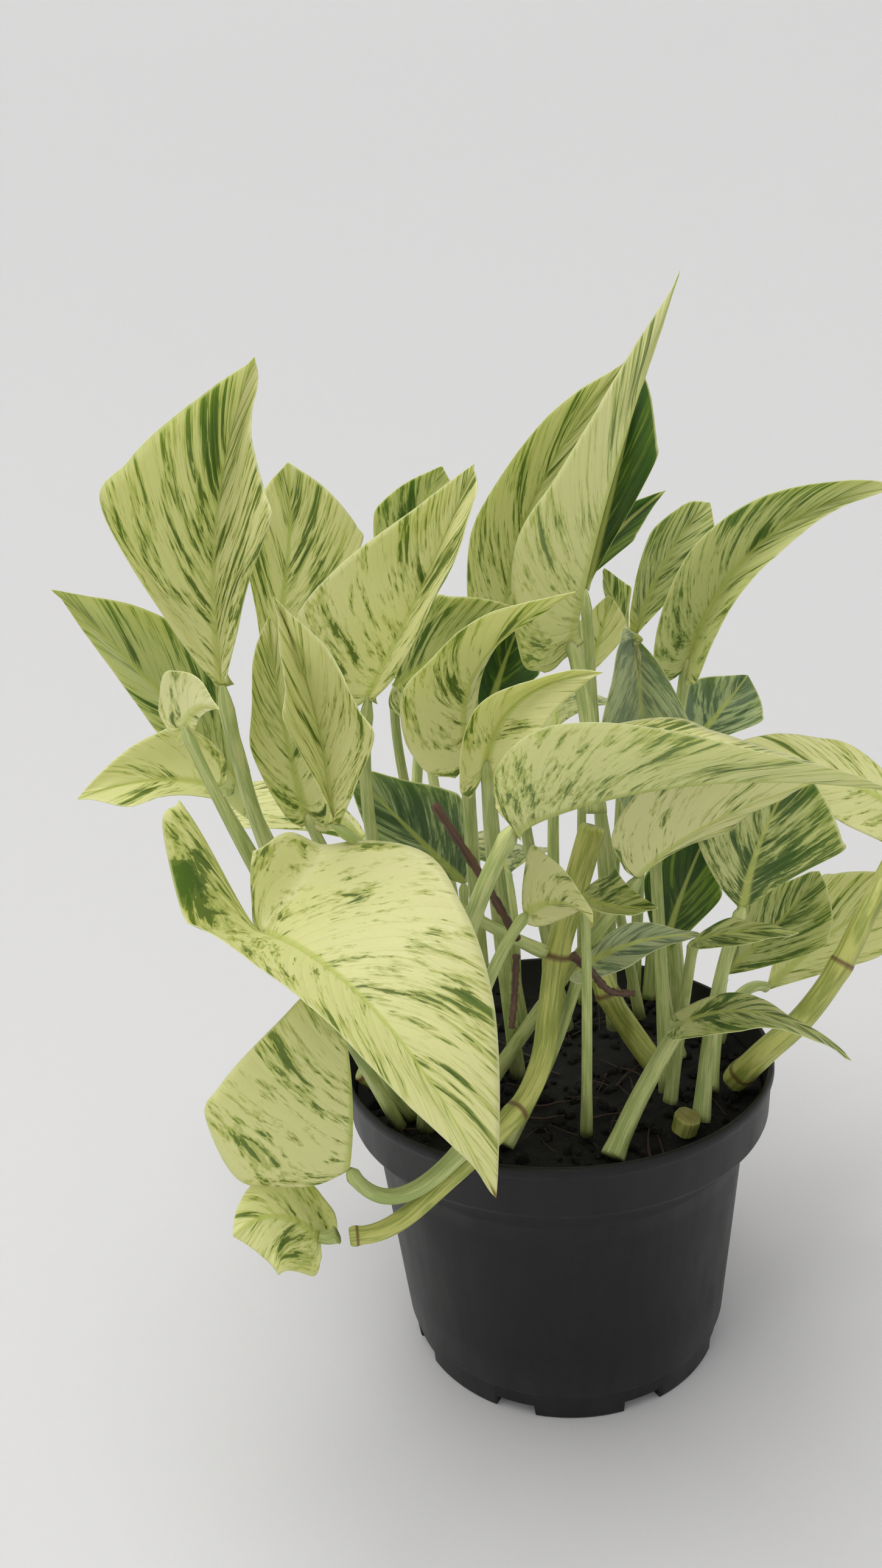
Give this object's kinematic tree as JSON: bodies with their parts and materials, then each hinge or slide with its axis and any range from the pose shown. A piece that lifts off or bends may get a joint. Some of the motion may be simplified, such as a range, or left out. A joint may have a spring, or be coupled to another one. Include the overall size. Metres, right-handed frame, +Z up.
{
  "type": "potted pothos plant",
  "caption": "Bushy potted pothos: heart-shaped cream and green marbled leaves on slim stalks, short stems, dark soil and a tapered black nursery pot with a deep collar.",
  "frame": {"origin": "middle of the pot's underside, on the plane the pot stands on", "axes": "+Z up through the pot's axis, -Y towards the side the large front leaf hangs over"},
  "size_m": [0.2152, 0.2218, 0.288],
  "materials": {
    "pot_plastic": "satin black moulded plastic",
    "potting_soil": "damp crumbly peat",
    "leaf_cream": "smooth leaf, cream with green flecks",
    "leaf_green": "smooth leaf, mid green with cream flecks",
    "leaf_grey": "matt leaf underside, grey green",
    "leaf_deep": "smooth leaf, deep green",
    "stem_green": "smooth yellow green stem",
    "root_brown": "dry brown aerial root"
  },
  "bodies": {
    "root": {"pot": "pot_plastic", "soil": "potting_soil", "leaf_front_large": "leaf_cream", "leaf_trailing_large": "leaf_cream", "leaf_trailing_small": "leaf_cream", "leaf_left_tall": "leaf_cream", "leaf_left_behind": "leaf_cream", "leaf_left_outer": "leaf_green", "leaf_left_inner": "leaf_cream", "leaf_left_folded": "leaf_cream", "leaf_left_low": "leaf_cream", "leaf_left_curl": "leaf_cream", "leaf_mid_left": "leaf_cream", "leaf_mid_back": "leaf_green", "leaf_top_broad": "leaf_cream", "leaf_top_tall": "leaf_cream", "leaf_top_green": "leaf_deep", "leaf_top_slim": "leaf_deep", "leaf_mid_front": "leaf_cream", "leaf_mid_pale": "leaf_cream", "leaf_mid_green": "leaf_green", "leaf_mid_dark": "leaf_deep", "leaf_low_dark": "leaf_deep", "leaf_right_long": "leaf_cream", "leaf_right_edge": "leaf_cream", "leaf_right_fan": "leaf_cream", "leaf_right_wide": "leaf_green", "leaf_small_folded": "leaf_cream", "leaf_small_green": "leaf_green", "leaf_low_grey": "leaf_grey", "leaf_low_green": "leaf_green", "leaf_right_low": "leaf_green", "leaf_right_lowest": "leaf_green", "leaf_right_pale": "leaf_cream", "leaf_hanging_grey": "leaf_grey", "leaf_right_dark": "leaf_deep", "leaf_right_high": "leaf_green", "leaf_back_dark": "leaf_grey", "leaf_back_upright": "leaf_green", "leaf_back_small": "leaf_green", "leaf_back_pale": "leaf_cream", "leaf_rear_high": "leaf_cream", "leaf_rear_mid": "leaf_green", "leaf_rear_right": "leaf_cream", "leaf_rear_left": "leaf_cream", "leaf_rear_low": "leaf_green", "vine_front": "stem_green", "vine_right": "stem_green", "vine_mid": "stem_green", "stub_stem": "stem_green", "stub_cut": "stem_green", "root_long": "root_brown", "root_side": "root_brown", "root_down": "root_brown"}
  },
  "joints": []
}
